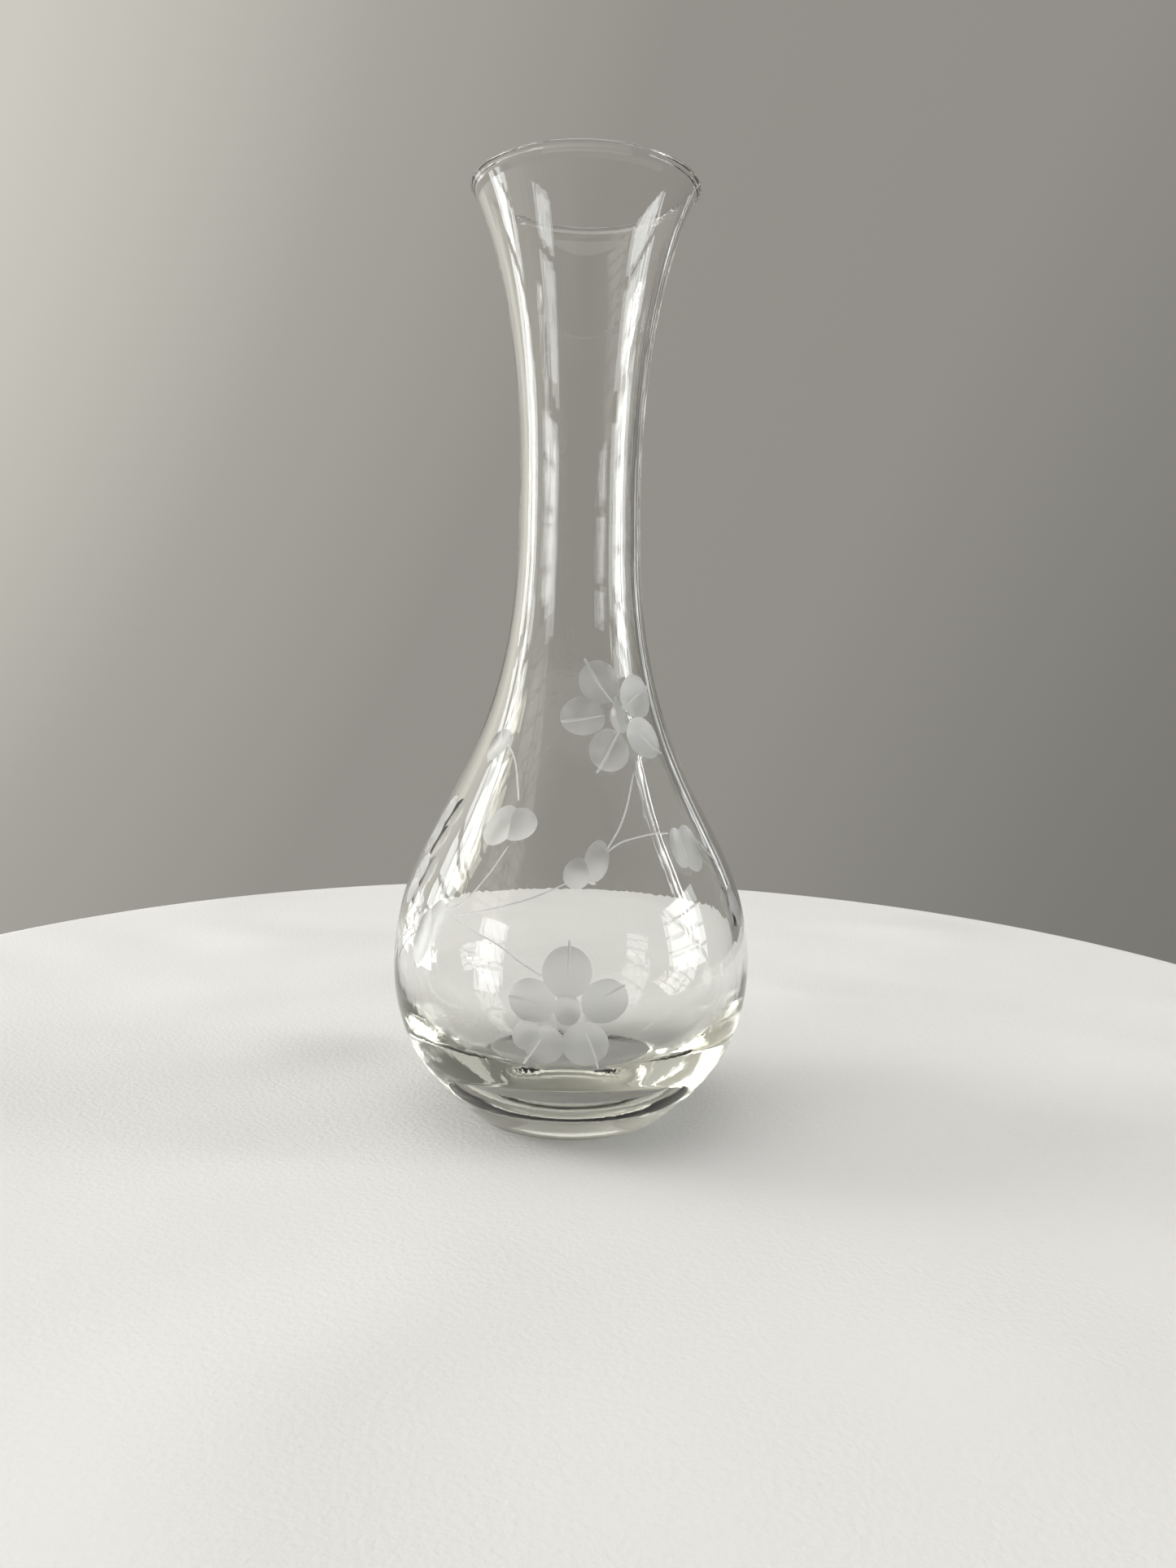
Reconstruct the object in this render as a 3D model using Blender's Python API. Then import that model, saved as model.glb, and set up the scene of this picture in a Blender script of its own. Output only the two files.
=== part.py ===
"""Glass bud vase: a heavy-footed bulb, a slim neck and a flared rim, with wheel-cut flowers and leaves.

The glass is one lathe-turned body with an open mouth. Every flower and leaf is a group of shallow
dished cuts in its outer surface. Each group has its own solid, the thin layer of matt ground glass
that lines its cuts, because that layer has another finish than the clear glass around it.

Metres, +Z up. The origin is the centre of the foot's flat underside. The decorated side faces -Y.
An azimuth is measured in degrees from -Y towards +X.
"""

import math

import bmesh
import bpy
from mathutils import Vector

MM = 0.001

# Driving dimensions of the outer shape
HEIGHT = 200.0 * MM
FOOT_RADIUS = 22.0 * MM
BULB_RADIUS = 39.5 * MM
BULB_HEIGHT = 33.0 * MM
NECK_RADIUS = 13.2 * MM
NECK_HEIGHT = 131.0 * MM
RIM_RADIUS = 24.3 * MM

# Driving dimensions of the cavity
FLOOR_THICKNESS = 8.5 * MM
BULB_WALL = 2.6 * MM
NECK_WALL = 2.0 * MM
RIM_WALL = 1.7 * MM

# The matt layer that lines each cut, and its clearance to the clear glass
CUT_DEPTH = 0.70 * MM
LAYER = 0.25 * MM
CLEARANCE = 0.30 * MM
LAYER_MARGIN = 0.20 * MM
RECESS_MARGIN = 0.60 * MM

# Fineness of the meshes
SEGMENTS = 48
CAVITY_SEGMENTS = SEGMENTS // 2
OUTER_STEPS = (9, 15, 6)
INNER_STEPS = (7, 8, 4)
LIP_STEPS = 4
CUT_SEGMENTS = 14
CUT_RINGS = 3
CUT_OVERRUN = 1.15
CUT_LID = 1.5 * MM
LID_STEP = 0.10 * MM

# One dished cut: azimuth (degrees), height (mm), tilt of its long axis from the horizontal
# (degrees), half length (mm), half width (mm).
CUTS = {
    "upper_flower": (
        (17.4, 95.8, 115, 4.7, 4.4),
        (45.4, 93.0, 60, 4.8, 4.5),
        (44.0, 84.6, -40, 4.9, 4.4),
        (20.0, 82.4, -115, 4.7, 4.4),
        (5.3, 89.0, 180, 4.8, 4.3),
        (28.5, 88.9, 92, 4.2, 2.5),
    ),
    "lower_flower": (
        (-0.4, 40.6, 90, 5.0, 4.8),
        (-10.2, 34.8, 160, 4.8, 4.5),
        (10.4, 35.0, 20, 4.8, 4.5),
        (-11.9, 28.2, 60, 3.6, 3.3),
        (-6.3, 26.2, -120, 4.5, 4.2),
        (5.2, 26.6, -60, 5.0, 4.8),
        (-0.1, 32.8, 90, 3.4, 3.3),
    ),
    "centre_leaf": (
        (8.9, 61.1, 75, 4.4, 2.4),
        (2.2, 58.8, 70, 3.2, 2.7),
    ),
    "right_leaf": (
        (44.4, 62.6, 85, 4.4, 2.4),
        (50.6, 62.2, 82, 5.2, 3.4),
    ),
    "right_edge_leaf": (
        (68.6, 50.2, 85, 3.4, 2.5),
        (71.0, 47.6, 80, 3.4, 2.4),
    ),
    "left_small_leaf": (
        (-49.5, 82.2, 80, 3.3, 2.3),
        (-46.0, 82.9, 65, 3.2, 2.2),
    ),
    "left_heart_leaf": (
        (-29.6, 66.9, 64, 4.6, 3.3),
        (-22.2, 67.4, 10, 4.1, 3.5),
    ),
    "left_low_leaf": (
        (-51.5, 43.8, 75, 5.9, 2.9),
        (-47.5, 46.4, 72, 5.4, 2.8),
    ),
    "left_edge_leaf": (
        (-70.0, 67.2, 70, 4.6, 2.8),
        (-70.0, 62.4, 75, 4.4, 2.6),
    ),
    "left_far_leaf": (
        (-67.0, 55.6, 70, 3.9, 2.7),
        (-68.5, 51.6, 70, 3.7, 2.5),
    ),
}

CLEAR_COLOUR = (0.93, 0.95, 0.94, 1.0)
GROUND_COLOUR = (0.86, 0.88, 0.87, 1.0)


def clear_scene():
    for obj in list(bpy.data.objects):
        bpy.data.objects.remove(obj, do_unlink=True)


def bezier(ends, steps):
    """Points of a cubic Bezier curve through (radius, height) pairs, without its first point."""
    start, first, second, end = (Vector(p) for p in ends)
    points = []
    for i in range(1, steps + 1):
        t = i / steps
        s = 1.0 - t
        points.append(s**3 * start + 3 * s * s * t * first + 3 * s * t * t * second + t**3 * end)
    return points


def outer_curves():
    """The outer outline's three curves: foot to bulb, bulb to neck, neck to rim."""
    foot = (FOOT_RADIUS, 0.0)
    bulb = (BULB_RADIUS, BULB_HEIGHT)
    neck = (NECK_RADIUS, NECK_HEIGHT)
    rim = (RIM_RADIUS, HEIGHT)
    return (
        (foot, (foot[0] + 2.0 * MM, 2.5 * MM), (bulb[0], bulb[1] - 21.5 * MM), bulb),
        (bulb, (bulb[0], bulb[1] + 34.0 * MM), (neck[0], neck[1] - 60.0 * MM), neck),
        (neck, (neck[0], neck[1] + 0.7 * MM), (rim[0] - 13.1 * MM, rim[1] - 25.5 * MM), rim),
    )


def inner_curves():
    """The cavity's three curves: floor to bulb, bulb to neck, neck to lip."""
    floor = (0.0, FLOOR_THICKNESS)
    bulb = (BULB_RADIUS - BULB_WALL, BULB_HEIGHT + 1.0 * MM)
    neck = (NECK_RADIUS - NECK_WALL, NECK_HEIGHT)
    lip = (RIM_RADIUS - RIM_WALL, HEIGHT)
    return (
        (floor, (25.0 * MM, floor[1]), (bulb[0], bulb[1] - 16.5 * MM), bulb),
        (bulb, (bulb[0], bulb[1] + 32.0 * MM), (neck[0], neck[1] - 63.0 * MM), neck),
        (neck, (neck[0], neck[1] + 0.7 * MM), (lip[0] - 13.1 * MM, lip[1] - 25.5 * MM), lip),
    )


def outside_outline():
    """The outline from the foot's centre, up the outside and over the rounded lip."""
    points = [Vector((0.0, 0.0)), Vector((FOOT_RADIUS, 0.0))]
    for ends, steps in zip(outer_curves(), OUTER_STEPS):
        points += bezier(ends, steps)
    outside = points.pop()
    centre = outside - Vector((RIM_WALL / 2, RIM_WALL / 2))
    for i in range(LIP_STEPS + 1):
        angle = math.pi * i / LIP_STEPS
        points.append(centre + Vector((math.cos(angle), math.sin(angle))) * RIM_WALL / 2)
    return points


def cavity_outline():
    """The outline from just below the lip, down the inside to the centre of the cavity's floor."""
    points = [Vector((0.0, FLOOR_THICKNESS))]
    for ends, steps in zip(inner_curves(), INNER_STEPS):
        points += bezier(ends, steps)
    return points[-2::-1]


def turned_rings(bm, points, segments):
    """A ring of vertices for each outline point, or one vertex where the point is on the axis."""
    rings = []
    for radius, height in points:
        if radius < 1e-9:
            rings.append([bm.verts.new((0.0, 0.0, height))])
            continue
        angles = [2 * math.pi * i / segments for i in range(segments)]
        rings.append([bm.verts.new((radius * math.cos(a), radius * math.sin(a), height)) for a in angles])
    return rings


def band(bm, low, high):
    """Faces between two rings, where one ring may have a whole number of times as many vertices."""
    count = max(len(low), len(high))
    for i in range(count):
        j = (i + 1) % count
        corners = [
            low[i * len(low) // count],
            low[j * len(low) // count],
            high[j * len(high) // count],
            high[i * len(high) // count],
        ]
        bm.faces.new(list(dict.fromkeys(corners)))


def lathe(name):
    """The whole glass as one closed solid of revolution, before it is cut."""
    bm = bmesh.new()
    rings = turned_rings(bm, outside_outline(), SEGMENTS)
    rings += turned_rings(bm, cavity_outline(), CAVITY_SEGMENTS)
    for low, high in zip(rings, rings[1:]):
        band(bm, low, high)
    bmesh.ops.recalc_face_normals(bm, faces=bm.faces)
    return new_object(name, bm)


def new_object(name, bm):
    mesh = bpy.data.meshes.new(name)
    bm.to_mesh(mesh)
    bm.free()
    obj = bpy.data.objects.new(name, mesh)
    bpy.context.scene.collection.objects.link(obj)
    return obj


def hide_helper(obj):
    obj.hide_render = True
    obj.display_type = "WIRE"


def surface_at(azimuth, height):
    """The outer surface there: point, horizontal and upward tangents, normal, and both curvatures."""
    ends = next(c for c in outer_curves() if c[3][1] >= height)
    curve = [Vector(ends[0])] + bezier(ends, 400)
    k = max(i for i in range(1, 400) if curve[i][1] <= height or i == 1)
    before, here, after = curve[k - 1], curve[k], curve[k + 1]
    slope = (after - before).normalized()
    turn = (after - here).normalized().cross((here - before).normalized())
    bend = turn / (after - here).length
    radius = here[0]
    angle = math.radians(azimuth)
    outward = Vector((math.sin(angle), -math.cos(angle), 0.0))
    across = Vector((math.cos(angle), math.sin(angle), 0.0))
    up = outward * slope[0] + Vector((0.0, 0.0, slope[1]))
    normal = across.cross(up)
    point = outward * radius + Vector((0.0, 0.0, height))
    return point, across, up, normal, slope[1] / radius, -bend


def dished_cut(name, cut, order, grow, depth):
    """A wheel's cut as a closed solid: a bowl whose edge meets the glass along the cut's ellipse.

    Its flat lid is clear of the glass, and each of a motif's lids is at its own height.
    """
    lid = CUT_LID + LID_STEP * order
    azimuth, height, tilt, half_length, half_width = cut
    point, across, up, normal, bend_across, bend_up = surface_at(azimuth, height * MM)
    length = half_length * MM + grow
    width = half_width * MM + grow
    tilt = math.radians(tilt)

    def place(reach, angle, lift):
        along = length * reach * math.cos(angle)
        aside = width * reach * math.sin(angle)
        u = along * math.cos(tilt) - aside * math.sin(tilt)
        w = along * math.sin(tilt) + aside * math.cos(tilt)
        fall = (bend_across * u * u + bend_up * w * w) / 2
        sink = depth * (1.0 - reach * reach) + fall
        return point + across * u + up * w + normal * (lift if lift else -sink)

    bm = bmesh.new()
    angles = [2 * math.pi * i / CUT_SEGMENTS for i in range(CUT_SEGMENTS)]
    rings = [[bm.verts.new(place(0.0, 0.0, 0.0))]]
    for k in range(1, CUT_RINGS + 1):
        reach = CUT_OVERRUN * k / CUT_RINGS
        rings.append([bm.verts.new(place(reach, a, 0.0)) for a in angles])
    rings.append([bm.verts.new(place(CUT_OVERRUN, a, lid)) for a in angles])
    for low, high in zip(rings, rings[1:]):
        band(bm, low, high)
    bm.faces.new(rings[-1])
    bmesh.ops.recalc_face_normals(bm, faces=bm.faces)
    return new_object(name, bm)


def boolean(obj, operation, other, solver="EXACT"):
    modifier = obj.modifiers.new(f"{operation.lower()} {other.name}", "BOOLEAN")
    modifier.operation = operation
    modifier.solver = solver
    modifier.object = other


def glass_material(name, colour, roughness):
    material = bpy.data.materials.new(name)
    material.use_nodes = True
    shader = material.node_tree.nodes["Principled BSDF"]
    shader.inputs["Base Color"].default_value = colour
    shader.inputs["Roughness"].default_value = roughness
    shader.inputs["Metallic"].default_value = 0.0
    shader.inputs["IOR"].default_value = 1.5
    shader.inputs["Transmission Weight"].default_value = 1.0
    return material


def finish(obj, material):
    obj.data.materials.append(material)
    obj.data.shade_smooth()
    obj.data.set_sharp_from_angle(angle=math.radians(35))


def ground_layer(motif, cuts, blank, material):
    """The matt layer under one motif's cuts: one thin solid, as its cuts overlap.

    The cuts' shallow overlaps defeat the EXACT solver, so this uses the MANIFOLD one.
    """
    layer = None
    for i, cut in enumerate(cuts):
        bowl = dished_cut(f"{motif}_cut", cut, i, LAYER_MARGIN, CUT_DEPTH + LAYER)
        if layer is None:
            layer = bowl
            continue
        bowl.name = f"cutter_{motif}_layer_{i}"
        hide_helper(bowl)
        boolean(layer, "UNION", bowl, "MANIFOLD")
    boolean(layer, "INTERSECT", blank, "MANIFOLD")
    for i, cut in enumerate(cuts):
        wheel = dished_cut(f"cutter_{motif}_wheel_{i}", cut, i, 0.0, CUT_DEPTH)
        hide_helper(wheel)
        boolean(layer, "DIFFERENCE", wheel, "MANIFOLD")
    finish(layer, material)
    return layer


def glass_body(material):
    """The clear glass, with a recess for each cut and its matt layer."""
    body = lathe("glass_body")
    depth = CUT_DEPTH + LAYER + CLEARANCE
    for motif, cuts in CUTS.items():
        for i, cut in enumerate(cuts):
            recess = dished_cut(f"cutter_{motif}_recess_{i}", cut, i, RECESS_MARGIN, depth)
            hide_helper(recess)
            boolean(body, "DIFFERENCE", recess)
    finish(body, material)
    return body


def main():
    clear_scene()
    clear = glass_material("clear_glass", CLEAR_COLOUR, 0.02)
    ground = glass_material("ground_glass", GROUND_COLOUR, 0.45)
    glass_body(clear)
    blank = lathe("blank")
    hide_helper(blank)
    for motif, cuts in CUTS.items():
        ground_layer(motif, cuts, blank, ground)


main()
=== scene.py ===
import math

import bmesh
import bpy
from mathutils import Matrix, Vector


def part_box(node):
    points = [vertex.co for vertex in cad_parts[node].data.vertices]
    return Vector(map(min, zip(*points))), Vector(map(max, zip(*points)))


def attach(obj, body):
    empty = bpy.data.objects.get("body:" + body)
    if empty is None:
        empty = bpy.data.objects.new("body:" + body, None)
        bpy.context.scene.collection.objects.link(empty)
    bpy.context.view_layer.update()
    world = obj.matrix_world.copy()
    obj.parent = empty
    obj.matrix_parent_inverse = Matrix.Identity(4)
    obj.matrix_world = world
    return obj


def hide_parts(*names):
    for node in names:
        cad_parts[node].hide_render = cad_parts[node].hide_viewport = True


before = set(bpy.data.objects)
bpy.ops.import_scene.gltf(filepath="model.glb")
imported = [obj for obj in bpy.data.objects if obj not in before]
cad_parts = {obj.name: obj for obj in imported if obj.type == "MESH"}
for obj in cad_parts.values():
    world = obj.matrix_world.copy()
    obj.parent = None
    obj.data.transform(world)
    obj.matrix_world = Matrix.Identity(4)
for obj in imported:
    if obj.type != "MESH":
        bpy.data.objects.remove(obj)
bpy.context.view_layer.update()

# Looks of the glass bud vase. Lengths are metres in the CAD frame: origin at the centre of the
# foot's underside, +Z up, the cut flowers on the -Y side. An azimuth is in degrees from -Y
# towards +X.

MM = 0.001

# The outline's driving sizes, the first two from the CAD solid
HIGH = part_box("glass_body")[1]
HEIGHT = HIGH[2]
BULB_RADIUS = HIGH[0]
FOOT_RADIUS = 22.0 * MM
BULB_HEIGHT = 33.0 * MM
NECK_RADIUS = 13.2 * MM
NECK_HEIGHT = 131.0 * MM
RIM_RADIUS = 24.3 * MM
FLOOR_THICKNESS = 8.5 * MM
BULB_WALL = 2.6 * MM
NECK_WALL = 2.0 * MM
RIM_WALL = 1.7 * MM

# Reach of the outline curves' handles. The bulb's and the neck's stand upright, and those of the
# foot and the rim are (radial, upright).
FOOT_HANDLE = (2.0 * MM, 2.5 * MM)
BULB_LOWER_HANDLE = 21.5 * MM
BULB_UPPER_HANDLE = 34.0 * MM
NECK_LOWER_HANDLE = 60.0 * MM
NECK_UPPER_HANDLE = 0.7 * MM
RIM_HANDLE = (13.1 * MM, 25.5 * MM)

# The same for the cavity, whose widest place is a little above the bulb's. Above the neck it shares
# the outer curve's handles.
CAVITY_RISE = 1.0 * MM
FLOOR_HANDLE = 25.0 * MM
CAVITY_LOWER_HANDLE = 16.5 * MM
CAVITY_UPPER_HANDLE = 32.0 * MM
CAVITY_NECK_HANDLE = 63.0 * MM

# Fineness of the turned glass and of the table of its outline's slopes, and the radius below which
# a point lies on the axis
SEGMENTS = 256
OUTER_STEPS = (26, 60, 36)
INNER_STEPS = (26, 50, 30)
LIP_STEPS = 12
SLOPE_STEPS = 300
ON_AXIS = 1e-9

# The blown inside's unevenness: its depth, where it fades out below the lip and near the axis, and
# its waves as (number around, turn per metre of height, turn at the start, size)
RIPPLE = 0.06 * MM
LIP_FADE = 12 * MM
AXIS_FADE = 10 * MM
INSIDE_WAVES = (
    (3, 20, 0.0, 1.0),
    (7, -35, 1.3, 0.7),
    (13, 18, 0.4, 0.35),
    (23, 0, 2.1, 0.2),
)

# Dished wheel cuts: depth of a dish and how much deeper it is towards its outer end, and the matt
# layer that lines it and its gap to the clear glass
CUT_DEPTH = 0.50 * MM
CUT_LEAN = 0.45
LAYER = 0.05 * MM
GAP = 0.02 * MM

# The solid that cuts a dish: its fineness, how far it runs past the dish's edge, and the height of
# its lid, which is a step higher for each next cut so that no two lids lie in one plane
CUT_SEGMENTS = 72
CUT_RINGS = 12
CUT_OVERRUN = 1.12
CUT_LID = 1.5 * MM
LID_STEP = 0.1 * MM

# Grooves: radius of the wheel's edge and depth of the groove, for stems and for petal veins, the
# matt layer and gap, spacing of the points along it, and sides of its tube
STEM_EDGE_RADIUS = 0.17 * MM
STEM_DEPTH = 0.09 * MM
VEIN_EDGE_RADIUS = 0.28 * MM
VEIN_DEPTH = 0.20 * MM
GROOVE_LAYER = 0.025 * MM
GROOVE_GAP = 0.012 * MM
GROOVE_STEP = 0.5 * MM
GROOVE_SIDES = 14

# How a stroke starts and ends: the share of the depth at a vein's ends, where along it the vein is
# deepest and how it fades inwards, and the share of the depth at a stem's ends and how fast it grows
VEIN_END = 0.1
VEIN_PEAK = 0.12
VEIN_FADE = 0.8
STEM_END = 0.3
STEM_GROWTH = 5.0

# Dished cuts of each motif: azimuth (degrees), height (mm), tilt of the long axis from the
# horizontal (degrees), half length (mm), half width (mm). The long axis points to the outer end.
PETALS = {
    "upper_flower": (
        (17.0, 96.0, 115, 4.6, 4.3),
        (45.8, 93.1, 60, 4.7, 4.4),
        (44.6, 84.5, -40, 4.8, 4.3),
        (19.6, 82.2, -115, 4.6, 4.3),
        (4.9, 89.0, 180, 4.6, 4.1),
        (28.6, 88.5, 92, 3.0, 2.1),
        (28.2, 91.2, 92, 2.0, 0.9),
    ),
    "lower_flower": (
        (-0.4, 40.6, 90, 5.0, 4.8),
        (-10.2, 34.8, 160, 4.7, 4.3),
        (10.4, 35.0, 20, 4.7, 4.3),
        (-11.6, 27.6, 60, 3.2, 2.9),
        (-6.6, 25.8, -120, 4.2, 3.9),
        (5.2, 26.2, -60, 4.8, 4.5),
        (-0.1, 33.3, 90, 3.0, 2.6),
    ),
    "centre_leaf": (
        (8.9, 61.1, 75, 4.4, 2.4),
        (2.2, 58.8, 70, 3.2, 2.7),
    ),
    "right_leaf": (
        (44.4, 62.6, 85, 4.4, 2.4),
        (50.6, 62.2, 82, 5.2, 3.4),
    ),
    "right_edge_leaf": (
        (68.6, 50.2, 85, 3.4, 2.5),
        (71.0, 47.6, 80, 3.4, 2.4),
    ),
    "left_small_leaf": (
        (-49.5, 82.2, 80, 3.3, 2.3),
        (-46.0, 82.9, 65, 3.2, 2.2),
    ),
    "left_heart_leaf": (
        (-29.6, 66.9, 244, 4.6, 3.3),
        (-22.2, 67.4, 10, 4.1, 3.5),
    ),
    "left_low_leaf": (
        (-51.5, 43.8, 75, 5.9, 2.9),
        (-47.5, 46.4, 72, 5.4, 2.8),
    ),
    "left_edge_leaf": (
        (-70.0, 67.2, 70, 4.6, 2.8),
        (-70.0, 62.4, 75, 4.4, 2.6),
    ),
    "left_far_leaf": (
        (-67.0, 55.6, 70, 3.9, 2.7),
        (-68.5, 51.6, 70, 3.7, 2.5),
    ),
}

# Straight vein of each petal: from its outer tip to its inner end, as (azimuth, height) pairs.
VEINS = {
    "upper_flower": (
        ((6.2, 100.8), (24.9, 91.9)),
        ((61.0, 95.2), (38.4, 91.9)),
        ((56.2, 81.1), (40.5, 86.2)),
        ((11.5, 77.7), (26.8, 85.8)),
        ((-8.2, 87.9), (17.3, 89.2)),
    ),
    "lower_flower": (
        ((0.1, 46.6), (-0.1, 39.4)),
        ((-16.9, 35.3), (-8.0, 34.3)),
        ((16.1, 37.9), (9.6, 35.6)),
        ((-13.1, 21.5), (-7.4, 27.0)),
        ((9.3, 21.0), (5.3, 28.5)),
    ),
    "right_leaf": (((47.6, 66.0), (47.4, 60.5)),),
}

# Stems and tendrils: long curved grooves, each through a few (azimuth, height) points.
VINES = {
    "flower_stem": (
        (31.3, 77.6), (28.2, 75.0), (25.1, 72.1), (21.8, 69.3), (18.5, 66.8), (12.6, 63.0),
    ),
    "right_tendril": ((12.6, 62.6), (16.6, 63.9), (21.2, 64.8), (32.4, 65.7), (41.0, 65.6)),
    "edge_tendril": ((56.6, 63.6), (61.5, 60.8), (65.8, 58.3), (68.6, 55.4), (69.6, 53.8)),
    "long_tendril": ((-1.6, 56.9), (-13.1, 53.8), (-26.3, 51.1), (-38.1, 49.1)),
    "low_tendril": (
        (-40.5, 48.6), (-37.8, 48.3), (-30.8, 46.9), (-21.8, 45.0), (-13.8, 41.9), (-7.4, 39.6),
    ),
    "heart_stem": ((-24.0, 63.2), (-29.1, 57.5), (-36.1, 51.9), (-43.0, 49.7)),
    "small_leaf_stem": ((-40.2, 82.7), (-35.0, 81.0), (-30.9, 78.7), (-27.0, 75.0), (-24.3, 71.9)),
    "far_left_stem": ((-61.7, 49.5), (-66.0, 46.5), (-70.5, 41.5), (-75.0, 35.5)),
    "near_left_stem": ((-54.5, 45.5), (-61.0, 43.6), (-68.0, 40.5), (-76.0, 35.0)),
}

# Edges that bend by more than this, in degrees, stay sharp
GLASS_SHARP = 9.0
GROOVE_SHARP = 25.0

# Glass: index, colours, and the thick glass's faint grey tint and how fast it builds up
GLASS_IOR = 1.5
GLASS_COLOUR = (0.975, 0.975, 0.968, 1.0)
GROUND_COLOUR = (0.97, 0.975, 0.97, 1.0)
GLASS_TINT = (0.49, 0.50, 0.38, 1.0)
GLASS_DENSITY = 10.0

# A bump is (strength, distance in metres). A ramp's stops are (position, value).
GLASS_BUMP = (0.06, 0.0004)
DRAW_LINE_SHARE = 0.50
HAZE = ((0.45, 0.0), (0.8, 0.035))
GRAIN_BUMP = (0.25, 0.00008)
CLOTH_BUMP = (1.0, 0.012)
# The cloth's colour along the crease noise, darker where it is high: painted shade along the creases
CLOTH_PAINTED_CREASE_SHADE = ((0.35, 0.86), (0.85, 0.79))
CLOTH_ROUGHNESS = 0.95
WEAVE_SHARE = 0.02

# Ground glass: the share of light that it lets through and its roughness, each as (least, most),
# for the dishes and for the grooves. Each goes from least to most between two noise levels.
DISH_CLEARNESS = (0.70, 0.92)
DISH_ROUGHNESS = (0.28, 0.38)
GROOVE_CLEARNESS = (0.25, 0.45)
GROOVE_ROUGHNESS = (0.40, 0.50)
CLEARNESS_LEVELS = (0.4, 0.65)
ROUGHNESS_LEVELS = (0.3, 0.7)

# Noise textures: scale, stretch along each axis and detail, and around the axis: scale, change per
# metre of height and detail
EVEN = (1.0, 1.0, 1.0)
HAZE_NOISE = (45.0, EVEN, 3.0)
GRAIN_NOISE = (2600.0, (1.0, 1.0, 0.25), 2.0)
PATCH_NOISE = (420.0, EVEN, 3.0)
CLOUD_NOISE = (210.0, EVEN, 2.0)
CREASE_NOISE = (11.0, (1.0, 1.5, 1.0), 4.0)
WEAVE_NOISE = (900.0, EVEN, 2.0)
WAVE_NOISE = (6.0, 12.0, 1.5)
DRAW_LINE_NOISE = (30.0, 0.3, 0.5)

# The round table top: its radius and its centre's distance behind the vase, in vase heights, how
# far its face lies below the foot, and its edge as (share of the radius, drop in metres)
TABLE_RADIUS = 1.172
TABLE_OFFSET = 0.241
TABLE_DROP = 0.0002
TABLE_EDGE = ((0.5, 0.0), (0.97, 0.0), (0.99, 0.0006), (1.0, 0.003), (1.003, 0.03))
TABLE_SEGMENTS = 128

# The camera's place in vase heights, its downward pitch and roll in degrees, its lens in mm, and
# the nearest thing it sees in metres
CAMERA_SHARE = (0.015, -1.304, 0.496)
CAMERA_PITCH = 5.71
CAMERA_ROLL = 1.17
CAMERA_LENS = 27.03
CAMERA_NEAR = 0.01

# Bounces of light, many because it passes through many surfaces of the glass
MOST_BOUNCES = 40
GLOSSY_BOUNCES = 24

# Windows: their distance, the width of the upright and level bars between panes as a share of a
# pane, and the clouded shade over the panes: noise scale and detail, contrast and least value
WINDOW_DISTANCE = 2.0
UPRIGHT_BAR = 0.16
LEVEL_BAR = 0.10
SKY_SCALE = 7.0
SKY_DETAIL = 4.0
SKY_CONTRAST = 1.2
SKY_LEAST = 0.4

# Each window: name, azimuth, spread, lowest and highest elevation (degrees), panes across and up,
# radiance and colour
DAYLIGHT = (0.98, 1.0, 1.0)
WARM = (1.0, 0.97, 0.84)
PINK = (1.0, 0.92, 0.89)
WINDOWS = (
    ("left_back_window", -130.0, 14.0, -12.0, 3.0, 3, 1, 2.0, DAYLIGHT),
    ("left_window", -103.0, 20.0, -12.0, 38.0, 6, 1, 5.5, DAYLIGHT),
    ("left_curtain", -91.0, 14.0, 17.0, 38.0, 3, 1, 4.5, WARM),
    ("left_sheer", -60.0, 30.0, 16.0, 60.0, 9, 1, 0.8, PINK),
    ("left_front_window", -52.0, 18.0, -14.0, 17.0, 3, 3, 4.0, DAYLIGHT),
    ("right_front_window", 81.0, 30.0, -7.0, 20.0, 4, 1, 4.5, DAYLIGHT),
    ("right_slit", 82.4, 1.3, 0.0, 46.0, 1, 1, 20.0, DAYLIGHT),
    ("right_far_slit", 86.2, 1.3, 0.0, 46.0, 1, 1, 20.0, DAYLIGHT),
    ("right_back_window", 143.0, 4.0, -5.0, 35.0, 1, 1, 1.2, DAYLIGHT),
)

# The bright ceiling: its height over the table, its width and its radiance
CEILING_HEIGHT = 1.2
CEILING_SIZE = 1.2
CEILING_RADIANCE = 1.1

# Surroundings: the direction towards which they grow paler, the shades along it as (position,
# value), and the tint
WALL_LEAN = (-0.88, 0.19, 0.44)
WALL_SHADES = (
    (0.0, 0.20),
    (0.25, 0.17),
    (0.38, 0.20),
    (0.52, 0.28),
    (0.66, 0.29),
    (0.75, 0.38),
    (0.84, 0.60),
    (1.0, 0.80),
)
WALL_TINT = (1.02, 0.985, 0.89)


# ---------------------------------------------------------------- outline and surface


def bezier(ends, steps):
    """Points of a cubic Bezier curve through (radius, height) pairs, without its first point."""
    start, first, second, end = (Vector(p) for p in ends)
    points = []
    for i in range(1, steps + 1):
        t = i / steps
        s = 1.0 - t
        points.append(s**3 * start + 3 * s * s * t * first + 3 * s * t * t * second + t**3 * end)
    return points


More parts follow.
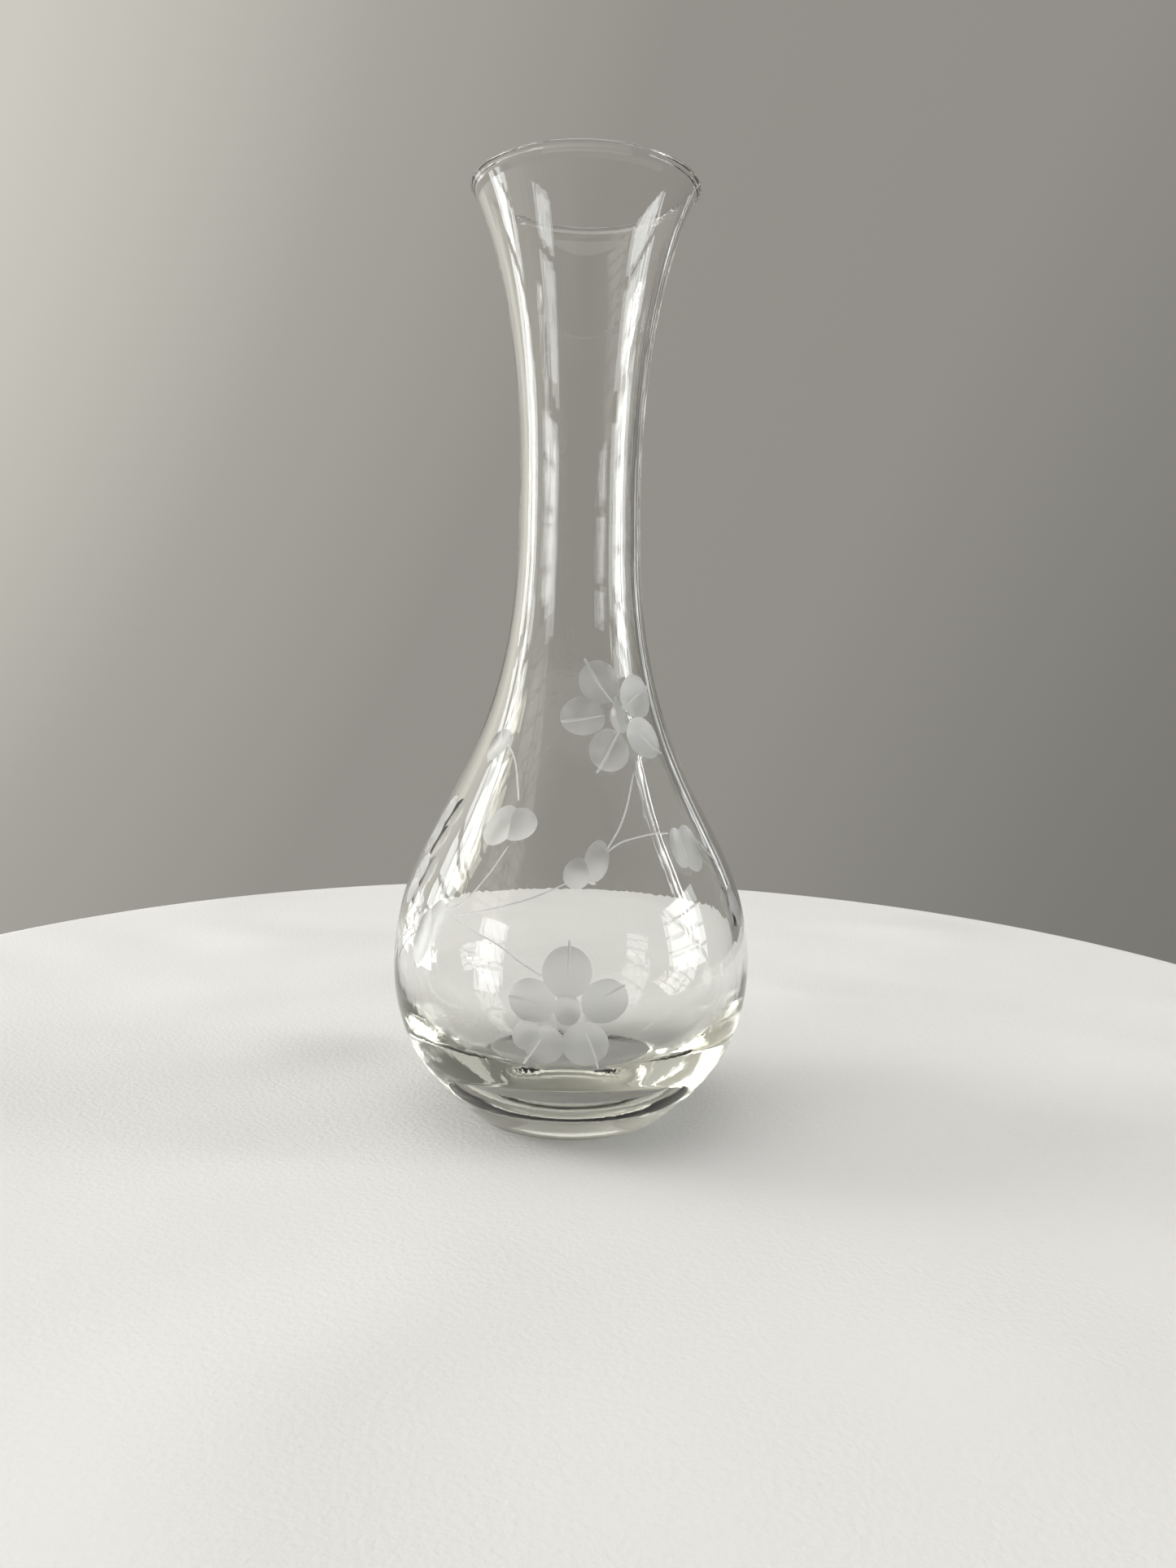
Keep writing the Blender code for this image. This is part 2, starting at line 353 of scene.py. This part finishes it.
def outer_curves():
    """The outer outline's three curves: foot to bulb, bulb to neck, neck to rim."""
    foot = (FOOT_RADIUS, 0.0)
    bulb = (BULB_RADIUS, BULB_HEIGHT)
    neck = (NECK_RADIUS, NECK_HEIGHT)
    rim = (RIM_RADIUS, HEIGHT)
    above_foot = (foot[0] + FOOT_HANDLE[0], FOOT_HANDLE[1])
    below_rim = (rim[0] - RIM_HANDLE[0], rim[1] - RIM_HANDLE[1])
    return (
        (foot, above_foot, (bulb[0], bulb[1] - BULB_LOWER_HANDLE), bulb),
        (bulb, (bulb[0], bulb[1] + BULB_UPPER_HANDLE), (neck[0], neck[1] - NECK_LOWER_HANDLE), neck),
        (neck, (neck[0], neck[1] + NECK_UPPER_HANDLE), below_rim, rim),
    )


def inner_curves():
    """The cavity's three curves: floor to bulb, bulb to neck, neck to lip."""
    floor = (0.0, FLOOR_THICKNESS)
    bulb = (BULB_RADIUS - BULB_WALL, BULB_HEIGHT + CAVITY_RISE)
    neck = (NECK_RADIUS - NECK_WALL, NECK_HEIGHT)
    lip = (RIM_RADIUS - RIM_WALL, HEIGHT)
    below_lip = (lip[0] - RIM_HANDLE[0], lip[1] - RIM_HANDLE[1])
    return (
        (floor, (FLOOR_HANDLE, floor[1]), (bulb[0], bulb[1] - CAVITY_LOWER_HANDLE), bulb),
        (bulb, (bulb[0], bulb[1] + CAVITY_UPPER_HANDLE), (neck[0], neck[1] - CAVITY_NECK_HANDLE), neck),
        (neck, (neck[0], neck[1] + NECK_UPPER_HANDLE), below_lip, lip),
    )


def outside_outline():
    """The outline from the foot's centre, up the outside and over the rounded lip."""
    points = [Vector((0.0, 0.0)), Vector((FOOT_RADIUS * 0.5, 0.0)), Vector((FOOT_RADIUS, 0.0))]
    for ends, steps in zip(outer_curves(), OUTER_STEPS):
        points += bezier(ends, steps)
    outside = points.pop()
    centre = outside - Vector((RIM_WALL / 2, RIM_WALL / 2))
    for i in range(LIP_STEPS + 1):
        angle = math.pi * i / LIP_STEPS
        points.append(centre + Vector((math.cos(angle), math.sin(angle))) * RIM_WALL / 2)
    return points


def cavity_outline():
    """The outline from just below the lip, down the inside to the centre of the cavity's floor."""
    points = [Vector((0.0, FLOOR_THICKNESS))]
    for ends, steps in zip(inner_curves(), INNER_STEPS):
        points += bezier(ends, steps)
    return points[-2::-1]


def surface_samples():
    """The outer outline at many heights, each as ((radius, height), slope, bend)."""
    samples = []
    for ends in outer_curves():
        curve = [Vector(ends[0])] + bezier(ends, SLOPE_STEPS)
        for before, here, after in zip(curve, curve[1:], curve[2:]):
            slope = (after - before).normalized()
            turn = (here - before).normalized().cross((after - here).normalized())
            samples.append((here, slope, turn / (after - here).length))
    return samples


SAMPLES = surface_samples()


def surface_at(azimuth, height):
    """The outer surface there: point, horizontal and upward tangents, normal, and both curvatures."""
    low, high = 0, len(SAMPLES) - 1
    while high - low > 1:
        middle = (low + high) // 2
        if SAMPLES[middle][0][1] <= height:
            low = middle
        else:
            high = middle
    here, slope, bend = SAMPLES[low]
    step = (height - here[1]) / (SAMPLES[high][0][1] - here[1])
    radius = here[0] + (SAMPLES[high][0][0] - here[0]) * step
    angle = math.radians(azimuth)
    outward = Vector((math.sin(angle), -math.cos(angle), 0.0))
    across = Vector((math.cos(angle), math.sin(angle), 0.0))
    up = outward * slope[0] + Vector((0.0, 0.0, slope[1]))
    point = outward * radius + Vector((0.0, 0.0, height))
    return point, across, up, across.cross(up), slope[1] / radius, bend


# ---------------------------------------------------------------- mesh helpers


def new_object(name, bm):
    """An object from a bmesh, which is used up, with its normals outwards."""
    mesh = bpy.data.meshes.new(name)
    bmesh.ops.recalc_face_normals(bm, faces=bm.faces)
    bm.to_mesh(mesh)
    bm.free()
    obj = bpy.data.objects.new(name, mesh)
    bpy.context.scene.collection.objects.link(obj)
    return obj


def band(bm, low, high):
    """Faces between two rings of vertices, where one of them may be a single vertex."""
    count = max(len(low), len(high))
    for i in range(count):
        j = (i + 1) % count
        corners = [low[i % len(low)], low[j % len(low)], high[j % len(high)], high[i % len(high)]]
        bm.faces.new(list(dict.fromkeys(corners)))


def lathe(name, ripple):
    """The whole glass as a closed solid of revolution. ripple is the depth of the inside's waves."""
    bm = bmesh.new()
    rings = []
    outside = outside_outline()
    for k, (radius, height) in enumerate(outside + cavity_outline()):
        if radius < ON_AXIS:
            rings.append([bm.verts.new((0.0, 0.0, height))])
            continue
        wave = ripple if k >= len(outside) else 0.0
        ring = []
        for i in range(SEGMENTS):
            angle = 2 * math.pi * i / SEGMENTS
            reach = radius + wave * inside_wave(angle, radius, height)
            ring.append(bm.verts.new((reach * math.cos(angle), reach * math.sin(angle), height)))
        rings.append(ring)
    for low, high in zip(rings, rings[1:]):
        band(bm, low, high)
    return new_object(name, bm)


def inside_wave(angle, radius, height):
    """The blown inside's gentle unevenness, from -1 to 1, fading out at the axis and the lip."""
    near_lip = min(1.0, (HEIGHT - height) / LIP_FADE)
    near_axis = min(1.0, radius / AXIS_FADE)
    total = sum(
        size * math.sin(around * angle + start + turn * height)
        for around, turn, start, size in INSIDE_WAVES
    )
    return near_lip * near_axis * total / sum(wave[-1] for wave in INSIDE_WAVES)


def boolean(obj, operation, other):
    """Adds a boolean modifier, which bake_modifiers carries out."""
    modifier = obj.modifiers.new(operation, "BOOLEAN")
    modifier.operation = operation
    modifier.solver = "MANIFOLD"
    modifier.object = other


def bake_modifiers(obj):
    """Replaces the object's mesh by what its modifiers make of it."""
    graph = bpy.context.evaluated_depsgraph_get()
    mesh = bpy.data.meshes.new_from_object(obj.evaluated_get(graph))
    obj.modifiers.clear()
    old = obj.data
    obj.data = mesh
    bpy.data.meshes.remove(old)


def remove(objects):
    """Deletes objects that only helped to cut others."""
    for obj in objects:
        bpy.data.objects.remove(obj, do_unlink=True)


def merged(name, parts):
    """One closed solid from several that overlap. The parts are used up."""
    base = parts[0]
    base.name = name
    for other in parts[1:]:
        boolean(base, "UNION", other)
    bake_modifiers(base)
    remove(parts[1:])
    return base


# ---------------------------------------------------------------- wheel cuts


def bowl(reach, lean):
    """A dish's depth as a share of CUT_DEPTH, 0 where its reach from the middle is 1.

    lean is the part of the reach that lies towards the outer end.
    """
    return (1.0 - reach * reach) * (1.0 + CUT_LEAN * lean)


def bowl_at(cut, point):
    """The dish's depth under a point of the outer surface, as a share of CUT_DEPTH."""
    azimuth, height, tilt, half_length, half_width = cut
    centre, across, up = surface_at(azimuth, height * MM)[:3]
    u = (point - centre).dot(across)
    w = (point - centre).dot(up)
    tilt = math.radians(tilt)
    along = u * math.cos(tilt) + w * math.sin(tilt)
    aside = w * math.cos(tilt) - u * math.sin(tilt)
    lean = along / (half_length * MM)
    reach = math.hypot(lean, aside / (half_width * MM))
    return bowl(reach, lean) if reach < 1.0 else 0.0


def dish_depth(motif, point):
    """How deep the motif's dished cuts are under a point of the outer surface."""
    deepest = 0.0
    for cut in PETALS.get(motif, ()):
        deepest = max(deepest, CUT_DEPTH * bowl_at(cut, point))
    return deepest


def dished_cut(name, cut, order, grow, depth):
    """A wheel's cut as a closed solid: a bowl whose edge meets the glass along the cut's ellipse.

    order is the cut's place among its motif's, and grow widens the ellipse.
    """
    azimuth, height, tilt, half_length, half_width = cut
    point, across, up, normal, bend_across, bend_up = surface_at(azimuth, height * MM)
    length = half_length * MM + grow
    width = half_width * MM + grow
    tilt = math.radians(tilt)
    lid = CUT_LID + LID_STEP * order

    def place(reach, angle, lift):
        along = length * reach * math.cos(angle)
        aside = width * reach * math.sin(angle)
        u = along * math.cos(tilt) - aside * math.sin(tilt)
        w = along * math.sin(tilt) + aside * math.cos(tilt)
        fall = (bend_across * u * u + bend_up * w * w) / 2
        sink = depth * bowl(reach, reach * math.cos(angle)) + fall
        return point + across * u + up * w + normal * (lift if lift else -sink)

    bm = bmesh.new()
    angles = [2 * math.pi * i / CUT_SEGMENTS for i in range(CUT_SEGMENTS)]
    rings = [[bm.verts.new(place(0.0, 0.0, 0.0))]]
    for k in range(1, CUT_RINGS + 1):
        reach = CUT_OVERRUN * k / CUT_RINGS
        rings.append([bm.verts.new(place(reach, a, 0.0)) for a in angles])
    rings.append([bm.verts.new(place(CUT_OVERRUN, a, lid)) for a in angles])
    for low, high in zip(rings, rings[1:]):
        band(bm, low, high)
    bm.faces.new(rings[-1])
    return new_object(name, bm)


def smooth_path(points):
    """Points every GROOVE_STEP along a Catmull-Rom curve through (azimuth, height in mm) pairs."""
    knots = [2 * Vector(points[0]) - Vector(points[1])]
    knots += [Vector(p) for p in points]
    knots.append(2 * knots[-1] - knots[-2])
    path = []
    for a, b, c, d in zip(knots, knots[1:], knots[2:], knots[3:]):
        start = surface_at(b[0], b[1] * MM)[0]
        end = surface_at(c[0], c[1] * MM)[0]
        steps = max(2, round((end - start).length / GROOVE_STEP))
        for i in range(steps):
            t = i / steps
            path.append(
                0.5 * (2 * b + (c - a) * t + (2 * a - 5 * b + 4 * c - d) * t * t)
                + 0.5 * (3 * b - a - 3 * c + d) * t**3
            )
    path.append(knots[-2])
    return path


def bite_share(share, vein):
    """How deep a stroke bites at a share of its length: a vein fades inwards, a stem at both ends."""
    if vein:
        rise = share / VEIN_PEAK
        fall = ((1.0 - share) / (1.0 - VEIN_PEAK)) ** VEIN_FADE
        return VEIN_END + (1.0 - VEIN_END) * min(rise, fall)
    return min(1.0, STEM_END + STEM_GROWTH * min(share, 1.0 - share))


def groove(name, points, motif, grow):
    """A thin wheel's stroke as a closed tube that bites into the surface.

    A motif's stroke is a vein, which starts from the floor of the motif's dishes. Others are stems.
    """
    path = smooth_path(points)
    last = len(path) - 1
    vein = motif in VEINS
    edge, depth = (VEIN_EDGE_RADIUS, VEIN_DEPTH) if vein else (STEM_EDGE_RADIUS, STEM_DEPTH)
    centres = []
    normals = []
    for k, (azimuth, height) in enumerate(path):
        point, across, up, normal = surface_at(azimuth, height * MM)[:4]
        bite = dish_depth(motif, point) + depth * bite_share(k / last, vein)
        centres.append(point + normal * (edge - bite))
        normals.append(normal)
    bm = bmesh.new()
    rings = []
    for k, centre in enumerate(centres):
        ahead = (centres[min(k + 1, last)] - centres[max(k - 1, 0)]).normalized()
        side = ahead.cross(normals[k]).normalized()
        lift = side.cross(ahead)
        ring = []
        for i in range(GROOVE_SIDES):
            angle = 2 * math.pi * i / GROOVE_SIDES
            spoke = side * math.cos(angle) + lift * math.sin(angle)
            ring.append(bm.verts.new(centre + spoke * (edge + grow)))
        rings.append(ring)
    for low, high in zip(rings, rings[1:]):
        band(bm, low, high)
    bm.faces.new(rings[0])
    bm.faces.new(rings[-1])
    return new_object(name, bm)


def wheel_marks(name, motif, petals, strokes, layer, gap):
    """Cuts of one motif as one closed solid, deeper by a number of layers and gaps.

    A dish grows sideways by one gap more than it grows in depth.
    """
    parts = []
    deeper = layer * LAYER + gap * GAP
    wider = deeper + gap * GAP
    grow = layer * GROOVE_LAYER + gap * GROOVE_GAP
    for i, cut in enumerate(petals):
        parts.append(dished_cut(f"{name}_dish_{i}", cut, i, wider, CUT_DEPTH + deeper))
    for i, stroke in enumerate(strokes):
        parts.append(groove(f"{name}_stroke_{i}", stroke, motif, grow))
    return merged(name, parts)


def ground_piece(name, motif, petals, strokes, blank):
    """The thin matt layer that lines some of a motif's cuts, and the pocket that holds it.

    All of the motif's wheels pass over the layer, so none of its cuts fills another.
    """
    piece = wheel_marks(name, motif, petals, strokes, 1, 0)
    every_petal = PETALS.get(motif, ())
    every_stroke = VEINS.get(motif, strokes)
    wheels = wheel_marks(f"{name}_wheels", motif, every_petal, every_stroke, 0, 0)
    pocket = wheel_marks(f"{name}_pocket", motif, petals, strokes, 1, 1)
    boolean(piece, "INTERSECT", blank)
    boolean(piece, "DIFFERENCE", wheels)
    bake_modifiers(piece)
    remove([wheels])
    return piece, pocket


# ---------------------------------------------------------------- materials


def node_material(name):
    """A material with its node tree and shader."""
    material = bpy.data.materials.new(name)
    material.use_nodes = True
    return material, material.node_tree, material.node_tree.nodes["Principled BSDF"]


def math_node(tree, operation, *values):
    """A Math node whose inputs are each a socket or a number."""
    node = tree.nodes.new("ShaderNodeMath")
    node.operation = operation
    for socket, value in zip(node.inputs, values):
        if isinstance(value, (int, float)):
            socket.default_value = value
        else:
            tree.links.new(value, socket)
    return node.outputs[0]


def add_bump(tree, shader, height_socket, strength, distance):
    """Tilts the shader's normal by the slope of a height."""
    bump = tree.nodes.new("ShaderNodeBump")
    bump.inputs["Strength"].default_value = strength
    bump.inputs["Distance"].default_value = distance
    tree.links.new(height_socket, bump.inputs["Height"])
    tree.links.new(bump.outputs["Normal"], shader.inputs["Normal"])


def scaled_noise(tree, scale, stretch, detail):
    """A noise over the object's own coordinates, which are first scaled along each axis."""
    place = tree.nodes.new("ShaderNodeTexCoord")
    mapping = tree.nodes.new("ShaderNodeMapping")
    mapping.inputs["Scale"].default_value = stretch
    noise = tree.nodes.new("ShaderNodeTexNoise")
    noise.inputs["Scale"].default_value = scale
    noise.inputs["Detail"].default_value = detail
    tree.links.new(place.outputs["Object"], mapping.inputs["Vector"])
    tree.links.new(mapping.outputs["Vector"], noise.inputs["Vector"])
    return noise


def round_noise(tree, scale, rise, detail):
    """A noise that changes around the vase's axis, and by rise per metre of height."""
    place = tree.nodes.new("ShaderNodeTexCoord")
    flat = tree.nodes.new("ShaderNodeMapping")
    flat.inputs["Scale"].default_value = (1.0, 1.0, 0.0)
    spoke = tree.nodes.new("ShaderNodeVectorMath")
    spoke.operation = "NORMALIZE"
    lift = tree.nodes.new("ShaderNodeMapping")
    lift.inputs["Scale"].default_value = (0.0, 0.0, rise)
    both = tree.nodes.new("ShaderNodeVectorMath")
    both.operation = "ADD"
    noise = tree.nodes.new("ShaderNodeTexNoise")
    noise.inputs["Scale"].default_value = scale
    noise.inputs["Detail"].default_value = detail
    tree.links.new(place.outputs["Object"], flat.inputs["Vector"])
    tree.links.new(place.outputs["Object"], lift.inputs["Vector"])
    tree.links.new(flat.outputs["Vector"], spoke.inputs[0])
    tree.links.new(spoke.outputs["Vector"], both.inputs[0])
    tree.links.new(lift.outputs["Vector"], both.inputs[1])
    tree.links.new(both.outputs["Vector"], noise.inputs["Vector"])
    return noise


def ramp(tree, source, stops, tint=(1.0, 1.0, 1.0)):
    """The colour of a ramp with (position, grey value) stops, where each grey is tinted."""
    node = tree.nodes.new("ShaderNodeValToRGB")
    elements = node.color_ramp.elements
    while len(elements) < len(stops):
        elements.new(0.5)
    for element, (position, value) in zip(elements, stops):
        element.position = position
        element.color = (value * tint[0], value * tint[1], value * tint[2], 1.0)
    tree.links.new(source, node.inputs["Fac"])
    return node.outputs["Color"]


def clear_glass():
    """Clear soda glass: faint waves and upright draw lines from blowing and a little haze."""
    material, tree, shader = node_material("clear_glass")
    shader.inputs["Base Color"].default_value = GLASS_COLOUR
    shader.inputs["IOR"].default_value = GLASS_IOR
    shader.inputs["Transmission Weight"].default_value = 1.0
    waves = round_noise(tree, *WAVE_NOISE)
    lines = round_noise(tree, *DRAW_LINE_NOISE)
    relief = math_node(
        tree, "MULTIPLY_ADD", lines.outputs["Fac"], DRAW_LINE_SHARE, waves.outputs["Fac"]
    )
    add_bump(tree, shader, relief, *GLASS_BUMP)
    haze = scaled_noise(tree, *HAZE_NOISE)
    tree.links.new(ramp(tree, haze.outputs["Fac"], HAZE), shader.inputs["Roughness"])
    body = tree.nodes.new("ShaderNodeVolumeAbsorption")
    body.inputs["Color"].default_value = GLASS_TINT
    body.inputs["Density"].default_value = GLASS_DENSITY
    tree.links.new(body.outputs["Volume"], tree.nodes["Material Output"].inputs["Volume"])
    return material


def ground_glass(name, clearness, roughness):
    """Matt wheel-ground glass: a fine scratched grain that scatters light.

    clearness is the share of the light that gets through. It and roughness are (least, most).
    """
    material, tree, shader = node_material(name)
    shader.inputs["Base Color"].default_value = GROUND_COLOUR
    shader.inputs["IOR"].default_value = GLASS_IOR
    grain = scaled_noise(tree, *GRAIN_NOISE)
    add_bump(tree, shader, grain.outputs["Fac"], *GRAIN_BUMP)
    patches = scaled_noise(tree, *PATCH_NOISE)
    spread = ramp(tree, patches.outputs["Fac"], tuple(zip(ROUGHNESS_LEVELS, roughness)))
    tree.links.new(spread, shader.inputs["Roughness"])
    clouds = scaled_noise(tree, *CLOUD_NOISE)
    passing = ramp(tree, clouds.outputs["Fac"], tuple(zip(CLEARNESS_LEVELS, clearness)))
    tree.links.new(passing, shader.inputs["Transmission Weight"])
    return material


def cloth_material():
    """A plain white table cloth with a fine weave and soft creases, whose colour has painted shade
    along the creases.
    """
    material, tree, shader = node_material("cloth")
    shader.inputs["Roughness"].default_value = CLOTH_ROUGHNESS
    creases = scaled_noise(tree, *CREASE_NOISE)
    creases.noise_type = "RIDGED_MULTIFRACTAL"
    # Painted shade: the cloth's colour darkens along the crease lines
    tree.links.new(ramp(tree, creases.outputs["Fac"], CLOTH_PAINTED_CREASE_SHADE), shader.inputs["Base Color"])
    weave = scaled_noise(tree, *WEAVE_NOISE)
    relief = math_node(
        tree, "MULTIPLY_ADD", weave.outputs["Fac"], WEAVE_SHARE, creases.outputs["Fac"]
    )
    add_bump(tree, shader, relief, *CLOTH_BUMP)
    return material


# ---------------------------------------------------------------- pieces


def finish_piece(obj, material, sharp):
    """Gives a piece its material, shading and body. sharp is in degrees."""
    obj.data.materials.clear()
    obj.data.materials.append(material)
    obj.data.shade_smooth()
    obj.data.set_sharp_from_angle(angle=math.radians(sharp))
    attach(obj, "root")


def build_vase():
    """The clear glass, and the matt layer of each motif, its veins and each stem or tendril."""
    clear = clear_glass()
    ground = ground_glass("ground_glass", DISH_CLEARNESS, DISH_ROUGHNESS)
    fine_ground = ground_glass("fine_ground_glass", GROOVE_CLEARNESS, GROOVE_ROUGHNESS)
    blank = lathe("blank", 0.0)
    pockets = []
    for motif, petals in PETALS.items():
        piece, pocket = ground_piece(f"{motif}_ground", motif, petals, (), blank)
        pockets.append(pocket)
        if motif in VEINS:
            veins, vein_pocket = ground_piece(f"{motif}_veins_ground", motif, (), VEINS[motif], blank)
            finish_piece(veins, fine_ground, GROOVE_SHARP)
            pockets.append(vein_pocket)
            boolean(piece, "DIFFERENCE", vein_pocket)
            bake_modifiers(piece)
        finish_piece(piece, ground, GLASS_SHARP)
        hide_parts(f"{motif}_cut")
    for name, points in VINES.items():
        piece, pocket = ground_piece(f"{name}_ground", "", (), (points,), blank)
        finish_piece(piece, fine_ground, GROOVE_SHARP)
        pockets.append(pocket)
    glass = lathe("vase_glass", RIPPLE)
    for pocket in pockets:
        boolean(glass, "DIFFERENCE", pocket)
    bake_modifiers(glass)
    remove(pockets + [blank])
    finish_piece(glass, clear, GLASS_SHARP)
    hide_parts("glass_body")


# ---------------------------------------------------------------- stage, light and camera


def build_table():
    """A round, plain pale table top under the vase."""
    bm = bmesh.new()
    radius = TABLE_RADIUS * HEIGHT
    centre = Vector((0.0, TABLE_OFFSET * HEIGHT, -TABLE_DROP))
    rings = []
    for reach, drop in TABLE_EDGE:
        ring = []
        for i in range(TABLE_SEGMENTS):
            angle = 2 * math.pi * i / TABLE_SEGMENTS
            spoke = Vector((math.cos(angle), math.sin(angle), 0.0)) * radius * reach
            ring.append(bm.verts.new(centre + spoke - Vector((0.0, 0.0, drop))))
        rings.append(ring)
    bm.faces.new(rings[0])
    for low, high in zip(rings, rings[1:]):
        band(bm, low, high)
    table = new_object("table_top", bm)
    table.data.materials.append(cloth_material())
    table.data.shade_smooth()


def pane_mask(tree, place, count, bar):
    """1 over each of count equal panes, 0 over the bars between them, as place runs from 0 to 1."""
    spread = math_node(tree, "FRACT", math_node(tree, "MULTIPLY", place, count))
    from_middle = math_node(tree, "ABSOLUTE", math_node(tree, "SUBTRACT", spread, 0.5))
    return math_node(tree, "LESS_THAN", from_middle, 0.5 - bar / 2)


def window_light(name, azimuth, spread, low, high, columns, rows, radiance, colour):
    """A soft window with panes that faces the vase's middle, from one row of WINDOWS."""
    middle = Vector((0.0, 0.0, HEIGHT / 2))
    rise = math.radians((low + high) / 2)
    turn = math.radians(azimuth)
    facing = Vector((math.sin(turn) * math.cos(rise), -math.cos(turn) * math.cos(rise), math.sin(rise)))
    data = bpy.data.lights.new(name, "AREA")
    data.shape = "RECTANGLE"
    data.size = 2 * WINDOW_DISTANCE * math.tan(math.radians(spread / 2)) * math.cos(rise)
    data.size_y = 2 * WINDOW_DISTANCE * math.tan(math.radians((high - low) / 2))
    data.energy = radiance * math.pi * data.size * data.size_y
    data.color = colour
    data.use_nodes = True
    tree = data.node_tree
    emission = tree.nodes["Emission"]
    place = tree.nodes.new("ShaderNodeNewGeometry")
    parts = tree.nodes.new("ShaderNodeSeparateXYZ")
    tree.links.new(place.outputs["Parametric"], parts.inputs[0])
    across, along = parts.outputs["X"], parts.outputs["Y"]
    level = math_node(tree, "SUBTRACT", math_node(tree, "SUBTRACT", 1.0, across), along)
    columns_mask = pane_mask(tree, along, columns, UPRIGHT_BAR)
    rows_mask = pane_mask(tree, level, rows, LEVEL_BAR)
    mask = math_node(tree, "MULTIPLY", columns_mask, rows_mask)
    clouds = tree.nodes.new("ShaderNodeTexNoise")
    clouds.inputs["Scale"].default_value = SKY_SCALE
    clouds.inputs["Detail"].default_value = SKY_DETAIL
    tree.links.new(place.outputs["Parametric"], clouds.inputs["Vector"])
    shade = math_node(tree, "MULTIPLY_ADD", clouds.outputs["Fac"], SKY_CONTRAST, SKY_LEAST)
    tree.links.new(math_node(tree, "MULTIPLY", mask, shade), emission.inputs["Strength"])
    light = bpy.data.objects.new(name, data)
    bpy.context.scene.collection.objects.link(light)
    light.location = middle + facing * WINDOW_DISTANCE
    light.rotation_euler = (-facing).to_track_quat("-Z", "Y").to_euler()
    light.visible_camera = False


def ceiling_light():
    """The soft light that comes straight down from a pale ceiling."""
    data = bpy.data.lights.new("ceiling", "AREA")
    data.shape = "DISK"
    data.size = CEILING_SIZE
    data.energy = CEILING_RADIANCE * math.pi * math.pi * (CEILING_SIZE / 2) ** 2
    light = bpy.data.objects.new("ceiling", data)
    bpy.context.scene.collection.objects.link(light)
    light.location = (0.0, 0.0, CEILING_HEIGHT)
    light.visible_camera = False
    light.visible_glossy = False


def build_world():
    """Soft grey surroundings: palest high on the left, dark low on the right."""
    world = bpy.data.worlds.new("surroundings")
    bpy.context.scene.world = world
    world.use_nodes = True
    tree = world.node_tree
    background = tree.nodes["Background"]
    place = tree.nodes.new("ShaderNodeTexCoord")
    lean = tree.nodes.new("ShaderNodeVectorMath")
    lean.operation = "DOT_PRODUCT"
    lean.inputs[1].default_value = WALL_LEAN
    tree.links.new(place.outputs["Generated"], lean.inputs[0])
    from_0_to_1 = math_node(tree, "MULTIPLY_ADD", lean.outputs["Value"], 0.5, 0.5)
    tree.links.new(ramp(tree, from_0_to_1, WALL_SHADES, WALL_TINT), background.inputs["Color"])


def build_camera():
    """The camera in front of the vase at half its height, looking slightly down."""
    data = bpy.data.cameras.new("camera")
    data.lens = CAMERA_LENS
    data.clip_start = CAMERA_NEAR
    camera = bpy.data.objects.new("camera", data)
    bpy.context.scene.collection.objects.link(camera)
    place = Matrix.Translation(Vector(CAMERA_SHARE) * HEIGHT)
    pitch = Matrix.Rotation(math.radians(90.0 - CAMERA_PITCH), 4, "X")
    roll = Matrix.Rotation(math.radians(CAMERA_ROLL), 4, "Z")
    camera.matrix_world = place @ pitch @ roll
    bpy.context.scene.camera = camera


def build_studio():
    """Everything around the vase, and the settings that its glass needs."""
    build_world()
    build_table()
    for window in WINDOWS:
        window_light(*window)
    ceiling_light()
    build_camera()
    scene = bpy.context.scene
    scene.view_settings.view_transform = "Standard"
    scene.cycles.max_bounces = MOST_BOUNCES
    scene.cycles.transmission_bounces = MOST_BOUNCES
    scene.cycles.glossy_bounces = GLOSSY_BOUNCES


build_vase()
build_studio()
